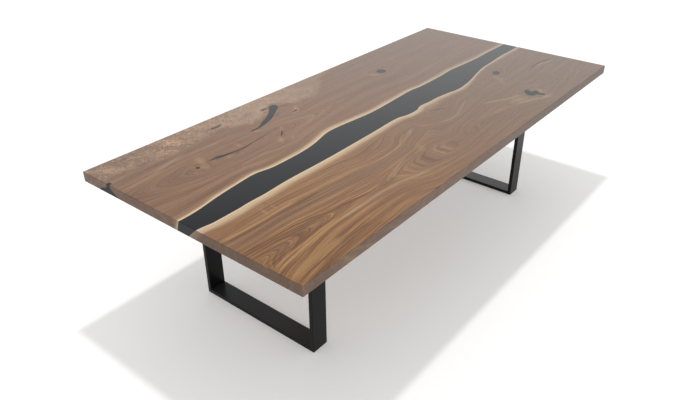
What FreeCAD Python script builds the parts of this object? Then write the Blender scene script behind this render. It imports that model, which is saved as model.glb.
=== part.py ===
"""A dining table: two walnut slabs joined by a black resin river, on two steel leg frames.

Origin: on the floor under the middle of the table. +X runs along the table, +Y across it,
+Z up. Lengths are in millimetres. The burl side is +Y, the grain side is -Y, the front end
is -X and the rear end is +X.
"""
import math
import os

import FreeCAD
import Part
from FreeCAD import Vector

# Driving sizes. Each row of the sheet is one of them, under its own name.
driving_sizes = {
    "table_length": 2620.0,
    "table_width": 1220.0,
    "table_height": 756.0,
    "top_thickness": 46.0,
    "eased_edge": 2.0,
    "burl_wall_lean": 14.0,
    "grain_wall_lean_front": 48.0,
    "grain_wall_lean_rear": 28.0,
    "crack_depth": 16.0,
    "small_void_depth": 12.0,
    "end_void_depth": 70.0,
    "leg_width": 685.0,
    "leg_setback": 378.0,
    "front_leg_shift": 44.0,
    "rear_leg_shift": 0.0,
    "bar_width": 90.0,
    "bar_thickness": 20.0,
    "tube_wall": 2.5,
    "tube_round": 2.0,
    "plate_width": 130.0,
    "plate_thickness": 8.0,
    "plate_corner": 8.0,
    "pad_length": 80.0,
    "pad_thickness": 2.0,
    "pad_inset": 12.0,
    "leg_bolt_pitch": 80.0,
    "leg_bolt_inner": 330.0,
    "leg_bolt_end_gap": 47.5,
    "leg_bolt_diameter": 7.8,
    "leg_bolt_reach": 26.0,
    "leg_head_diameter": 14.0,
    "leg_head_height": 4.4,
    "leg_socket_flats": 5.0,
    "leg_washer_diameter": 20.0,
    "leg_washer_thickness": 1.6,
    "leg_slot_length": 18.0,
    "leg_slot_width": 9.0,
    "leg_insert_diameter": 12.0,
    "leg_insert_length": 20.0,
    "channel_side_gap": 160.0,
    "channel_width": 38.0,
    "channel_height": 12.7,
    "channel_wall": 3.2,
    "channel_round": 1.0,
    "channel_spacing": 440.0,
    "channel_bolt_inner": 400.0,
    "channel_bolt_end_gap": 40.0,
    "channel_bolt_diameter": 5.8,
    "channel_bolt_reach": 24.0,
    "channel_head_diameter": 10.5,
    "channel_head_height": 3.3,
    "channel_socket_flats": 4.0,
    "channel_washer_diameter": 16.0,
    "channel_washer_thickness": 1.6,
    "channel_slot_length": 14.0,
    "channel_slot_width": 6.6,
    "channel_insert_diameter": 10.0,
    "channel_insert_length": 15.0,
    "bore_clearance": 0.1,
    "groove_clearance": 0.5,
    "overrun": 5.0,
}

# The river's live edges on the top face, from the front end to the rear end. Each point is a
# share of the table's length and a share of its width, from the table's centre.
burl_edge_shares = (
    (-0.500, -0.004), (-0.477, -0.003), (-0.458, 0.001), (-0.439, 0.008), (-0.420, 0.0145),
    (-0.382, 0.024), (-0.362, 0.028), (-0.344, 0.031), (-0.328, 0.028), (-0.309, 0.019),
    (-0.286, 0.0155), (-0.237, 0.0165), (-0.210, 0.0215), (-0.183, 0.0335), (-0.164, 0.0445),
    (-0.149, 0.051), (-0.130, 0.0525), (-0.107, 0.049), (-0.076, 0.0425), (-0.038, 0.035),
    (0.000, 0.0345), (0.038, 0.038), (0.076, 0.042), (0.114, 0.0435), (0.132, 0.0385),
    (0.172, 0.036), (0.229, 0.0385), (0.263, 0.042), (0.290, 0.0385), (0.324, 0.033),
    (0.382, 0.0295), (0.420, 0.031), (0.458, 0.0295), (0.500, 0.0295),
)
grain_edge_shares = (
    (-0.500, -0.081), (-0.491, -0.081), (-0.479, -0.086), (-0.447, -0.0885), (-0.420, -0.0885),
    (-0.401, -0.086), (-0.382, -0.0875), (-0.355, -0.086), (-0.324, -0.083), (-0.267, -0.0845),
    (-0.191, -0.085), (-0.134, -0.083), (-0.076, -0.080), (-0.034, -0.077), (-0.019, -0.0795),
    (0.000, -0.090), (0.023, -0.0945), (0.040, -0.090), (0.055, -0.081), (0.073, -0.0845),
    (0.099, -0.086), (0.130, -0.092), (0.153, -0.100), (0.172, -0.107), (0.195, -0.1055),
    (0.229, -0.096), (0.267, -0.0785), (0.302, -0.0625), (0.324, -0.0555), (0.363, -0.0515),
    (0.412, -0.0435), (0.447, -0.0435), (0.500, -0.041),
)

# Cracks: the route of each one's middle and its width there, a share of the table's width.
large_crack_shares = (
    (-0.2335, 0.286, 0.000), (-0.2215, 0.285, 0.010), (-0.208, 0.287, 0.0115),
    (-0.1925, 0.299, 0.0195), (-0.1755, 0.313, 0.0235), (-0.1585, 0.332, 0.0255),
    (-0.143, 0.354, 0.027), (-0.1315, 0.373, 0.036), (-0.123, 0.387, 0.033),
    (-0.117, 0.395, 0.000),
)
crescent_crack_shares = (
    (-0.1545, 0.3885, 0.000), (-0.151, 0.395, 0.007), (-0.147, 0.397, 0.0095),
    (-0.1435, 0.392, 0.0095), (-0.142, 0.3865, 0.000),
)
long_crack_shares = (
    (-0.3525, 0.2235, 0.000), (-0.342, 0.2225, 0.007), (-0.3325, 0.2185, 0.0105),
    (-0.320, 0.2145, 0.009), (-0.3055, 0.2105, 0.0065), (-0.290, 0.206, 0.006),
    (-0.278, 0.2055, 0.0055), (-0.267, 0.209, 0.0045), (-0.2365, 0.2155, 0.0035),
    (-0.212, 0.2205, 0.000),
)
short_crack_shares = (
    (-0.211, 0.1655, 0.000), (-0.2087, 0.171, 0.0035), (-0.206, 0.1755, 0.005),
    (-0.2022, 0.1815, 0.0055), (-0.1985, 0.187, 0.005), (-0.1947, 0.192, 0.0035),
    (-0.191, 0.1965, 0.000),
)
curved_crack_shares = (
    (0.382, -0.240, 0.000), (0.397, -0.2345, 0.004), (0.420, -0.235, 0.005),
    (0.439, -0.241, 0.0065), (0.454, -0.2515, 0.0075), (0.4655, -0.2605, 0.000),
)

# Knots and pockets: the points of each one's outline, in shares like the river's.
front_knot_shares = (
    (-0.3815, 0.2095), (-0.3775, 0.2085), (-0.3755, 0.213), (-0.377, 0.2205), (-0.3795, 0.223),
    (-0.382, 0.2175),
)
burl_pocket_shares = (
    (-0.267, 0.418), (-0.259, 0.4135), (-0.248, 0.4145), (-0.2425, 0.4185), (-0.249, 0.4215),
    (-0.257, 0.4195), (-0.263, 0.427), (-0.266, 0.4245),
)
middle_knot_shares = (
    (-0.1215, 0.289), (-0.115, 0.285), (-0.108, 0.287), (-0.107, 0.291), (-0.1145, 0.292),
)
rear_knot_shares = (
    (0.151, 0.283), (0.156, 0.269), (0.166, 0.2675), (0.1735, 0.279), (0.174, 0.295),
    (0.1655, 0.3085), (0.1555, 0.305), (0.1505, 0.295),
)
river_knot_shares = (
    (0.297, -0.150), (0.304, -0.158), (0.313, -0.154), (0.318, -0.143), (0.3175, -0.130),
    (0.311, -0.124), (0.303, -0.127), (0.298, -0.137),
)
comma_knot_shares = (
    (0.234, -0.384), (0.2385, -0.398), (0.247, -0.404), (0.2515, -0.4205), (0.257, -0.434),
    (0.2605, -0.423), (0.258, -0.4045), (0.2645, -0.392), (0.264, -0.3785), (0.2565, -0.375),
    (0.2555, -0.361), (0.2595, -0.349), (0.253, -0.3435), (0.244, -0.349), (0.236, -0.365),
)
crack_floor_share = 0.5
knot_floor_share = 0.75

# The void on the front end face: shares of the table's width and of the top's thickness,
# from the underside. It opens downwards like a bell, and inside the slab it shrinks.
end_void_shares = (
    (0.412, 0.0), (0.391, 0.14), (0.370, 0.38), (0.364, 0.70), (0.3665, 1.0),
    (0.345, 1.0), (0.3475, 0.70), (0.3425, 0.38), (0.325, 0.14), (0.301, 0.0),
)
end_void_inner_width_share = 0.45
end_void_inner_height_share = 0.15
end_void_rise_share = 0.22

# How many times the kernel's own precision two equal lengths may differ by
loosening = 100

doc = FreeCAD.newDocument("dining_table")
sheet = doc.addObject("Spreadsheet::Sheet", "sizes")
for row, (size_name, number) in enumerate(driving_sizes.items(), 1):
    sheet.set(f"A{row}", size_name)
    sheet.set(f"B{row}", str(number))
    sheet.setAlias(f"B{row}", size_name)
doc.recompute()
pieces = []


def size(name):
    """A driving size, read back from the sheet."""
    return float(getattr(sheet, name))


def keep(piece):
    """Counts an object as one of the table's pieces, under the name that it was made with."""
    pieces.append(piece)
    return piece


def made(name, shape):
    """An object for a form that is worked out from the sheet rather than from a primitive."""
    piece = doc.addObject("Part::Feature", name)
    piece.Shape = shape
    return piece


def bound(kind, name, **rules):
    """A primitive whose properties follow the sheet. A rule named at_x places it along X."""
    piece = doc.addObject(kind, name)
    for key, rule in rules.items():
        where = f"Placement.Base.{key[-1]}" if key.startswith("at_") else key
        piece.setExpression(where, rule)
    return piece


def without(name, base, *tools):
    """What is left of base when the tools are cut out of it."""
    cutter = tools[0]
    if len(tools) > 1:
        cutter = doc.addObject("Part::Compound", name + "_tools")
        cutter.Links = list(tools)
    cut = doc.addObject("Part::Cut", name)
    cut.Base = base
    cut.Tool = cutter
    return cut


def rounded(name, base, radius, chosen):
    """Base with a fillet on each edge for which chosen(edge) is true."""
    doc.recompute()
    fillet = doc.addObject("Part::Fillet", name)
    fillet.Base = base
    edges = enumerate(base.Shape.Edges, 1)
    fillet.Edges = [(number, radius, radius) for number, edge in edges if chosen(edge)]
    return fillet


def same(first, second):
    """Whether two lengths are equal, as near as the kernel keeps them."""
    return abs(first - second) < Part.Precision.confusion() * loosening


def curve(points, closed=False):
    """A smooth line through the points, as one edge from each point to the next."""
    spline = Part.BSplineCurve()
    spline.interpolate(points, PeriodicFlag=closed)
    knots = spline.getKnots()
    return [spline.toShape(start, end) for start, end in zip(knots, knots[1:])]


def line(start, end):
    return Part.LineSegment(start, end).toShape()


def solid_between(upper, lower):
    """The solid between two flat outlines, given as matching lists of edges."""
    faces = [Part.Face(Part.Wire(upper)), Part.Face(Part.Wire(lower))]
    faces += [Part.makeRuledSurface(high, low) for high, low in zip(upper, lower)]
    shell = Part.makeShell(faces)
    shell.sewShape()
    if Part.Solid(shell).Volume < 0:
        shell.reverse()
    return Part.Solid(shell)


# Levels that many pieces share
top_z = size("table_height")
under_z = top_z - size("top_thickness")
half_length = size("table_length") / 2
half_width = size("table_width") / 2
UNDER = "sizes.table_height - sizes.top_thickness"


def on_top(share):
    """The point of the top face that a pair of shares names."""
    return Vector(share[0] * size("table_length"), share[1] * size("table_width"), top_z)


def leaned(point, lean_front, lean_rear):
    """The point of the underside that a live edge's point on the top face leans to."""
    along = (point.x + half_length) / size("table_length")
    lean = lean_front + (lean_rear - lean_front) * along
    return Vector(point.x, point.y + lean, under_z)


def live_edge(edge_shares):
    """A live edge's points on the top face, with its two ends run out past the table's ends."""
    points = [on_top(share) for share in edge_shares]
    points[0].x -= size("overrun")
    points[-1].x += size("overrun")
    return points


# The two live edges, on the top face and on the underside
burl_top = live_edge(burl_edge_shares)
grain_top = live_edge(grain_edge_shares)
burl_lean = size("burl_wall_lean")
burl_under = [leaned(point, burl_lean, burl_lean) for point in burl_top]
grain_leans = (size("grain_wall_lean_front"), size("grain_wall_lean_rear"))
grain_under = [leaned(point, *grain_leans) for point in grain_top]


def slab_outline(live_points, outer_y):
    """A slab's outline: its live edge, its two square ends and its straight outer edge."""
    first, last = live_points[0], live_points[-1]
    rear_corner = Vector(last.x, outer_y, last.z)
    front_corner = Vector(first.x, outer_y, first.z)
    rear_end, outer_side = line(last, rear_corner), line(rear_corner, front_corner)
    return [*curve(live_points), rear_end, outer_side, line(front_corner, first)]


def river_outline(burl_points, grain_points):
    """The river's outline: one live edge, the rear end, the other live edge, the front end."""
    back = list(reversed(grain_points))
    rear, front = line(burl_points[-1], back[0]), line(back[-1], burl_points[0])
    return [*curve(burl_points), rear, *curve(back), front]


board = bound("Part::Box", "board", Length="sizes.table_length", Width="sizes.table_width",
              Height="sizes.top_thickness", at_x="-sizes.table_length / 2",
              at_y="-sizes.table_width / 2", at_z=UNDER)
eased_board = rounded("eased_board", board, size("eased_edge"), lambda edge: True)


def blank(name, outline, above, below):
    """The part of the eased board that lies between one outline's two levels."""
    kept = doc.addObject("Part::Common", name)
    kept.Base = eased_board
    kept.Tool = made(name + "_form", solid_between(outline(*above), outline(*below)))
    return kept


beyond = half_width + size("overrun")
burl_blank = blank("burl_slab_blank", slab_outline, (burl_top, beyond), (burl_under, beyond))
grain_blank = blank("grain_slab_blank", slab_outline, (grain_top, -beyond), (grain_under, -beyond))
river_blank = blank("river_blank", river_outline, (burl_top, grain_top), (burl_under, grain_under))


def crack_sides(route_shares, width_share, level):
    """A crack's two curved sides at a level, with its widths scaled by width_share."""
    middle = [on_top(share) for share in route_shares]
    widths = [share[2] * size("table_width") * width_share for share in route_shares]
    left, right = [], []
    for place, point in enumerate(middle):
        before, after = middle[max(place - 1, 0)], middle[min(place + 1, len(middle) - 1)]
        across = (after - before).cross(Vector(0, 0, 1)).normalize() * (widths[place] / 2)
        left.append(Vector(point.x + across.x, point.y + across.y, level))
        right.append(Vector(point.x - across.x, point.y - across.y, level))
    return [*curve(left), *curve(list(reversed(right)))]


def crack_fill(name, route_shares, depth):
    """Resin in a crack: as wide as the crack on the top face, narrower at its floor."""
    upper = crack_sides(route_shares, 1, top_z)
    lower = crack_sides(route_shares, crack_floor_share, top_z - depth)
    return keep(made(name, solid_between(upper, lower)))


def knot_fill(name, outline_shares, depth):
    """Resin in a knot or pocket, tapering to its floor or to the underside."""
    outline = [on_top(share) for share in outline_shares]
    middle = sum(outline, Vector()) * (1 / len(outline))
    floor = [middle + (point - middle) * knot_floor_share for point in outline]
    for point in floor:
        point.z = top_z - depth
    return keep(made(name, solid_between(curve(outline, True), curve(floor, True))))


crack_depth = size("crack_depth")
small_depth = size("small_void_depth")
through = size("top_thickness")
burl_fills = [
    crack_fill("large_crack_resin", large_crack_shares, crack_depth),
    crack_fill("crescent_crack_resin", crescent_crack_shares, small_depth),
    crack_fill("long_crack_resin", long_crack_shares, small_depth),
    crack_fill("short_crack_resin", short_crack_shares, small_depth),
    knot_fill("front_knot_resin", front_knot_shares, small_depth),
    knot_fill("burl_pocket_resin", burl_pocket_shares, small_depth),
    knot_fill("middle_knot_resin", middle_knot_shares, small_depth),
    knot_fill("rear_knot_resin", rear_knot_shares, crack_depth),
]
grain_fills = [
    knot_fill("river_knot_resin", river_knot_shares, through),
    knot_fill("comma_knot_resin", comma_knot_shares, through),
    crack_fill("curved_crack_resin", curved_crack_shares, small_depth),
]


def end_void_outline(place_x, width_share, height_share, rise):
    """The end void's outline in a plane across the table, widths drawn in to its middle."""
    middle = sum(share[0] for share in end_void_shares) / len(end_void_shares)
    points = []
    for across, up in end_void_shares:
        narrowed = middle + (across - middle) * width_share
        height = up * height_share * size("top_thickness")
        lift = rise if up > 0 else -size("overrun")
        points.append(Vector(place_x, narrowed * size("table_width"), under_z + height + lift))
    crown = len(points) // 2
    left, right = points[:crown], points[crown:]
    return [*curve(left), line(left[-1], right[0]), *curve(right), line(right[-1], left[0])]


end_void = made("end_void_form", solid_between(
    end_void_outline(-half_length, 1, 1, end_void_rise_share * size("top_thickness")),
    end_void_outline(size("end_void_depth") - half_length, end_void_inner_width_share,
                     end_void_inner_height_share, 0)))
end_fill = keep(doc.addObject("Part::Common", "end_void_resin"))
end_fill.Base = burl_blank
end_fill.Tool = end_void

# The three channel grooves across the underside
CHANNEL_LENGTH = "sizes.table_width - 2 * sizes.channel_side_gap"
channel_places = {"front": "-sizes.channel_spacing", "middle": "0", "rear": "sizes.channel_spacing"}
channel_length = size("table_width") - 2 * size("channel_side_gap")
grooves = []
for place, centre_x in channel_places.items():
    grooves.append(bound(
        "Part::Box", place + "_groove",
        Length="sizes.channel_width + 2 * sizes.groove_clearance",
        Width=f"{CHANNEL_LENGTH} + 2 * sizes.groove_clearance",
        Height="sizes.channel_height + sizes.overrun",
        at_x=f"{centre_x} - sizes.channel_width / 2 - sizes.groove_clearance",
        at_y=f"-({CHANNEL_LENGTH}) / 2 - sizes.groove_clearance",
        at_z=f"{UNDER} - sizes.overrun"))


def both_ways(spacing):
    """The two places that lie half a spacing each side of zero."""
    return (-spacing / 2, spacing / 2)


def bolt_places_of_leg(side, shift):
    """Where one leg's bolts stand: side is -1 at the front and 1 at the rear."""
    centre_x = side * (half_length - size("leg_setback") - size("bar_width") / 2)
    outer_spacing = size("leg_width") - 2 * size("leg_bolt_end_gap")
    across = [*both_ways(size("leg_bolt_inner")), *both_ways(outer_spacing)]
    along = both_ways(size("leg_bolt_pitch"))
    return [Vector(centre_x + x, shift + y, under_z) for x in along for y in across]


legs = {"front": -1, "rear": 1}
leg_bolt_places = {
    end: bolt_places_of_leg(side, size(end + "_leg_shift")) for end, side in legs.items()
}
channel_bolt_spacings = (
    size("channel_bolt_inner"), channel_length - 2 * size("channel_bolt_end_gap"),
)
channel_bolt_places = [
    Vector(x, y, under_z)
    for x in (-size("channel_spacing"), 0, size("channel_spacing"))
    for spacing in channel_bolt_spacings
    for y in both_ways(spacing)
]


def insert_holes(name, places, kind, start_z):
    """The blind holes that one kind of threaded insert sits in."""
    radius = size(kind + "_insert_diameter") / 2 + size("bore_clearance")
    depth = size(kind + "_insert_length") + size("bore_clearance")
    holes = [Part.makeCylinder(radius, depth, Vector(at.x, at.y, start_z)) for at in places]
    return made(name, Part.makeCompound(holes))


groove_top = under_z + size("channel_height")
all_leg_places = leg_bolt_places["front"] + leg_bolt_places["rear"]
leg_holes = insert_holes("leg_insert_holes", all_leg_places, "leg", under_z)
channel_holes = insert_holes("channel_insert_holes", channel_bolt_places, "channel", groove_top)
openings = [*grooves, leg_holes, channel_holes]
keep(without("walnut_slab_burl_side", burl_blank, *burl_fills, end_void, *openings))
keep(without("walnut_slab_grain_side", grain_blank, *grain_fills, *openings))
keep(without("resin_river", river_blank, *grooves))


def tube(name, length, width, height, axis, **at):
    """A closed flat tube, its long outer edges rounded and its inside hollow along axis."""
    outer = bound("Part::Box", name + "_outside", Length=length, Width=width, Height=height, **at)
    long_edges = {"y": "YLength", "z": "ZLength"}[axis]
    others = [key for key in ("XLength", "YLength", "ZLength") if key != long_edges]
    skin = rounded(name + "_skin", outer, size("tube_round"),
                   lambda edge: all(same(getattr(edge.BoundBox, key), 0) for key in others))
    inset = {key: f"{rule} + sizes.tube_wall" for key, rule in at.items() if key[-1] != axis}
    along = {key: f"{rule} - sizes.overrun" for key, rule in at.items() if key[-1] == axis}
    spans = {"Length": length, "Width": width, "Height": height}
    long_span = {"y": "Width", "z": "Height"}[axis]
    for key, rule in spans.items():
        spans[key] = f"{rule} - 2 * sizes.tube_wall"
        if key == long_span:
            spans[key] = f"{rule} + 2 * sizes.overrun"
    hollow = bound("Part::Box", name + "_hollow", **spans, **inset, **along)
    return without(name + "_tube", skin, hollow)


def mitre_tool(name, corner_y, towards, side, below):
    """A block that cuts a leg's corner along its mitre, which rises inwards from the corner.

    towards is 1 or -1, the way across the table from the corner to the leg's middle. The
    block lies on the floor bar's side of the mitre when below is true, else on the upright's.
    """
    reach = size("bar_thickness") + size("overrun")
    middle_x = side * (half_length - size("leg_setback") - size("bar_width") / 2)
    start_x = middle_x - size("bar_width") / 2 - size("overrun")
    corner = Vector(start_x, corner_y, size("pad_thickness"))
    outwards = Vector(0, -towards, -1) * size("overrun")
    inwards = Vector(0, towards, 1) * reach
    aside = Vector(0, towards, -1) * reach * (1 if below else -1)
    near, far = corner + outwards, corner + inwards
    outline = Part.makePolygon([near, far, far + aside, near + aside, near])
    run = Vector(size("bar_width") + 2 * size("overrun"), 0, 0)
    return made(name, Part.Face(outline).extrude(run))


def slot_block(centre, length, width, depth):
    """A block in the shape of a slot with round ends, which runs across the table."""
    run, across = Vector(0, (length - width) / 2, 0), Vector(width / 2, 0, 0)
    tip = Vector(0, length / 2, 0)
    edges = [
        line(across - run, across + run), Part.Arc(across + run, tip, run - across).toShape(),
        line(run - across, -run - across), Part.Arc(-run - across, -tip, across - run).toShape(),
    ]
    block = Part.Face(Part.Wire(edges)).extrude(Vector(0, 0, depth))
    block.translate(centre)
    return block


def slots(name, places, kind, thickness):
    """Slots for one kind of bolt through a plate or web that is thickness deep."""
    drop = Vector(0, 0, -thickness - size("overrun"))
    depth = thickness + 2 * size("overrun")
    spans = (size(kind + "_slot_length"), size(kind + "_slot_width"))
    return made(name, Part.makeCompound([slot_block(at + drop, *spans, depth) for at in places]))


def button_bolt(kind):
    """A button-head bolt, head down, with a hexagon socket. The seat of its head is at zero."""
    head_radius, head_height = size(kind + "_head_diameter") / 2, size(kind + "_head_height")
    shank_radius, reach = size(kind + "_bolt_diameter") / 2, size(kind + "_bolt_reach")
    rim_share, crown_share, dome_share, socket_share = 0.25, 0.5, 0.83, 0.6
    crown_radius = head_radius * crown_share
    rim = Vector(head_radius, 0, -head_height * rim_share)
    crown = Vector(crown_radius, 0, -head_height)
    dome = Vector((head_radius + crown_radius) / 2, 0, -head_height * dome_share)
    straight = [Vector(shank_radius, 0, reach), Vector(shank_radius, 0, 0), Vector(head_radius, 0, 0), rim]
    end, pole = Vector(0, 0, reach), Vector(0, 0, -head_height)
    outline = [line(start, stop) for start, stop in zip([end, *straight], straight)]
    outline += [Part.Arc(rim, dome, crown).toShape(), line(crown, pole), line(pole, end)]
    turned = Part.Face(Part.Wire(outline)).revolve(Vector(), Vector(0, 0, 1), 360)
    corner_radius = size(kind + "_socket_flats") / math.sqrt(3)
    turns = [math.radians(60 * corner) for corner in range(7)]
    corners = [Vector(math.cos(turn), math.sin(turn), 0) * corner_radius + pole for turn in turns]
    socket = Part.Face(Part.makePolygon(corners)).extrude(Vector(0, 0, head_height * socket_share))
    return turned.cut(socket)


def ring(outer_radius, inner_radius, height):
    """A round ring standing up from zero."""
    return Part.makeCylinder(outer_radius, height).cut(Part.makeCylinder(inner_radius, height))


def group(name, shape, places, level):
    """One node that holds a copy of the shape over each place, at that level."""
    copies = []
    for at in places:
        copy = shape.copy()
        copy.translate(Vector(at.x, at.y, level))
        copies.append(copy)
    return keep(made(name, Part.makeCompound(copies)))


def fasteners(prefix, kind, places, seat_z, insert_z):
    """Bolts and washers seated at seat_z, and the threaded inserts that start at insert_z."""
    thickness = size(kind + "_washer_thickness")
    bore_radius = size(kind + "_bolt_diameter") / 2 + size("bore_clearance")
    washer = ring(size(kind + "_washer_diameter") / 2, bore_radius, thickness)
    insert = ring(size(kind + "_insert_diameter") / 2, bore_radius, size(kind + "_insert_length"))
    group(prefix + "_bolts", button_bolt(kind), places, seat_z - thickness)
    group(prefix + "_washers", washer, places, seat_z - thickness)
    group(prefix + "_threaded_inserts", insert, places, insert_z)


def leg_steel(label, side, shift_name):
    """One leg frame's steel: two uprights and a floor bar, mitred at the floor, and a plate."""
    outer_x = "sizes.table_length / 2 - sizes.leg_setback"
    start_x = f"-({outer_x})" if side < 0 else f"{outer_x} - sizes.bar_width"
    grain_y = f"sizes.{shift_name} - sizes.leg_width / 2"
    burl_y = f"sizes.{shift_name} + sizes.leg_width / 2 - sizes.bar_thickness"
    bar_z = "sizes.pad_thickness"
    plate_z = f"{UNDER} - sizes.plate_thickness"
    upright_sides = (("burl_side", burl_y, 1), ("grain_side", grain_y, -1))
    bar_mitres = []
    for word, edge_y, sign in upright_sides:
        name = f"{label}_{word}_upright"
        upright = tube(name, "sizes.bar_width", "sizes.bar_thickness", f"{plate_z} - {bar_z}", "z",
                       at_x=start_x, at_y=edge_y, at_z=bar_z)
        corner_y = size(shift_name) + sign * size("leg_width") / 2
        keep(without(name, upright, mitre_tool(name + "_mitre", corner_y, -sign, side, True)))
        bar_mitres.append(mitre_tool(f"{label}_{word}_bar_mitre", corner_y, -sign, side, False))
    bar = tube(label + "_floor_bar", "sizes.bar_width", "sizes.leg_width", "sizes.bar_thickness", "y",
               at_x=start_x, at_y=grain_y, at_z=bar_z)
    keep(without(label + "_floor_bar", bar, *bar_mitres))
    plate_x = f"{start_x} + sizes.bar_width / 2 - sizes.plate_width / 2"
    plate = bound("Part::Box", label + "_plate_blank", Length="sizes.plate_width",
                  Width="sizes.leg_width", Height="sizes.plate_thickness",
                  at_x=plate_x, at_y=grain_y, at_z=plate_z)
    return start_x, rounded(label + "_plate_rounded", plate, size("plate_corner"),
                            lambda edge: not same(edge.BoundBox.ZLength, 0))


def floor_pads(label, start_x, shift_name):
    """The two pads under a leg frame's floor bar, one near each of its ends."""
    pads = doc.addObject("Part::Compound", label + "_floor_pads")
    grain_y = f"sizes.{shift_name} - sizes.leg_width / 2 + sizes.pad_inset"
    burl_y = f"sizes.{shift_name} + sizes.leg_width / 2 - sizes.pad_inset - sizes.pad_length"
    pads.Links = [
        bound("Part::Box", f"{label}_{word}_pad", Length="sizes.bar_width - 2 * sizes.pad_inset",
              Width="sizes.pad_length", Height="sizes.pad_thickness",
              at_x=f"{start_x} + sizes.pad_inset", at_y=edge_y, at_z="0")
        for word, edge_y in (("grain_side", grain_y), ("burl_side", burl_y))
    ]
    keep(pads)


for end, side in legs.items():
    label, places = end + "_leg", leg_bolt_places[end]
    start_x, plate = leg_steel(label, side, label + "_shift")
    plate_slots = slots(label + "_slots", places, "leg", size("plate_thickness"))
    keep(without(label + "_mounting_plate", plate, plate_slots))
    floor_pads(label, start_x, label + "_shift")
    fasteners(label, "leg", places, under_z - size("plate_thickness"), under_z)


def steel_channel(place, centre_x, middle_x):
    """A C-channel, its web flush with the underside and its two flanges standing up."""
    outside = bound("Part::Box", place + "_channel_outside", Length="sizes.channel_width",
                    Width=CHANNEL_LENGTH, Height="sizes.channel_height",
                    at_x=f"{centre_x} - sizes.channel_width / 2",
                    at_y=f"-({CHANNEL_LENGTH}) / 2", at_z=UNDER)
    skin = rounded(place + "_channel_skin", outside, size("channel_round"),
                   lambda edge: same(edge.BoundBox.ZMax, under_z) and same(edge.BoundBox.XLength, 0))
    hollow = bound("Part::Box", place + "_channel_hollow",
                   Length="sizes.channel_width - 2 * sizes.channel_wall",
                   Width=f"{CHANNEL_LENGTH} + 2 * sizes.overrun",
                   Height="sizes.channel_height - sizes.channel_wall + sizes.overrun",
                   at_x=f"{centre_x} - sizes.channel_width / 2 + sizes.channel_wall",
                   at_y=f"-({CHANNEL_LENGTH}) / 2 - sizes.overrun",
                   at_z=f"{UNDER} + sizes.channel_wall")
    web_top = Vector(0, 0, size("channel_wall"))
    bolts = [at + web_top for at in channel_bolt_places if same(at.x, middle_x)]
    web_slots = slots(place + "_channel_slots", bolts, "channel", size("channel_wall"))
    keep(without(place + "_steel_channel", skin, hollow, web_slots))


for (place, centre_x), turn in zip(channel_places.items(), (-1, 0, 1)):
    steel_channel(place, centre_x, turn * size("channel_spacing"))
fasteners("channel", "channel", channel_bolt_places, under_z, groove_top)

doc.recompute()
for item in doc.Objects:
    if "Invalid" in item.State or "Error" in item.State:
        raise RuntimeError(f"{item.Name} could not be built: {item.State}")
for piece in pieces:
    if piece.Shape.isNull() or not piece.Shape.isValid() or not piece.Shape.Solids:
        raise RuntimeError(f"{piece.Name} has no valid solid")

os.makedirs("parts", exist_ok=True)
for piece in pieces:
    piece.Label = piece.Name
    piece.Shape.exportStep(os.path.join("parts", piece.Label + ".step"))
    box = piece.Shape.BoundBox
    print(f"{piece.Label}: {len(piece.Shape.Solids)} solid(s), {piece.Shape.Volume / 1000:.1f} cm3, "
          f"x {box.XMin:.1f} to {box.XMax:.1f}, y {box.YMin:.1f} to {box.YMax:.1f}, "
          f"z {box.ZMin:.1f} to {box.ZMax:.1f}")
print(len(pieces), "pieces")
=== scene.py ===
# %% [markdown]
# A river table: two walnut slabs with their live edges turned inwards, a black resin river cast
# between them, and two flat-tube steel leg frames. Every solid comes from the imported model, which
# stays as it is. This lesson gives each one a finish made of shader nodes, adds the welds, and
# sets up the floor, the light and the camera.

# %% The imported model
import math

import bmesh
import bpy
import numpy as np
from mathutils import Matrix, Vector


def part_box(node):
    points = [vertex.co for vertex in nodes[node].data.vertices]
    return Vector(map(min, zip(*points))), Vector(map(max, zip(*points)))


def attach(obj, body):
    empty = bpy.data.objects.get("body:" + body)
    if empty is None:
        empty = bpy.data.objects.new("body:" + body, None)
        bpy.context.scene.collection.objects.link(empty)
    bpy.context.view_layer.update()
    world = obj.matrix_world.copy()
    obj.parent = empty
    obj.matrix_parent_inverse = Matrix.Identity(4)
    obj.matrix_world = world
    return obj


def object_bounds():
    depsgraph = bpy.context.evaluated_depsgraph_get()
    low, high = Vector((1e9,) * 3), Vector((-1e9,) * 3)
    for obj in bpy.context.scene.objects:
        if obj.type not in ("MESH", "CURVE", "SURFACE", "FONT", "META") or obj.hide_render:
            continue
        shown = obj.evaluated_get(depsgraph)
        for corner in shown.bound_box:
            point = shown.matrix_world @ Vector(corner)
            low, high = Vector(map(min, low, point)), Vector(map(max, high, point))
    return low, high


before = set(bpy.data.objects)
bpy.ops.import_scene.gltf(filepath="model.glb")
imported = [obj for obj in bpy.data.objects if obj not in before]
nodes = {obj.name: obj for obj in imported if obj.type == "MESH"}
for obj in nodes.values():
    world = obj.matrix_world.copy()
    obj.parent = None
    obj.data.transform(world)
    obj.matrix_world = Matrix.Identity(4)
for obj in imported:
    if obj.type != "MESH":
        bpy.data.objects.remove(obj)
packed_low, packed_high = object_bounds()
print(len(nodes), "solids from the packed model")

# %% [markdown]
# Everything below is placed from a few sizes of the table. They could be typed in, but sizes that
# are read back from the solids can't drift away from them. Blender works in metres, and the model's
# frame has its origin on the floor under the middle of the top.

# %% The table's main sizes
top_low, top_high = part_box("walnut_slab_burl_side")
top_z = top_high.z
thickness = top_high.z - top_low.z
half_length = packed_high.x
half_width = packed_high.y
millimetre = 0.001
print("top", round(2 * half_length, 3), "x", round(2 * half_width, 3), "x", round(thickness, 3))

# %% [markdown]
# A finish in Blender is a tree of nodes. Wiring each node by hand takes many lines, so a Wire
# stands for one output socket and lets shader maths be written as ordinary arithmetic: adding
# two wires makes an Add node and links it up.

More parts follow.
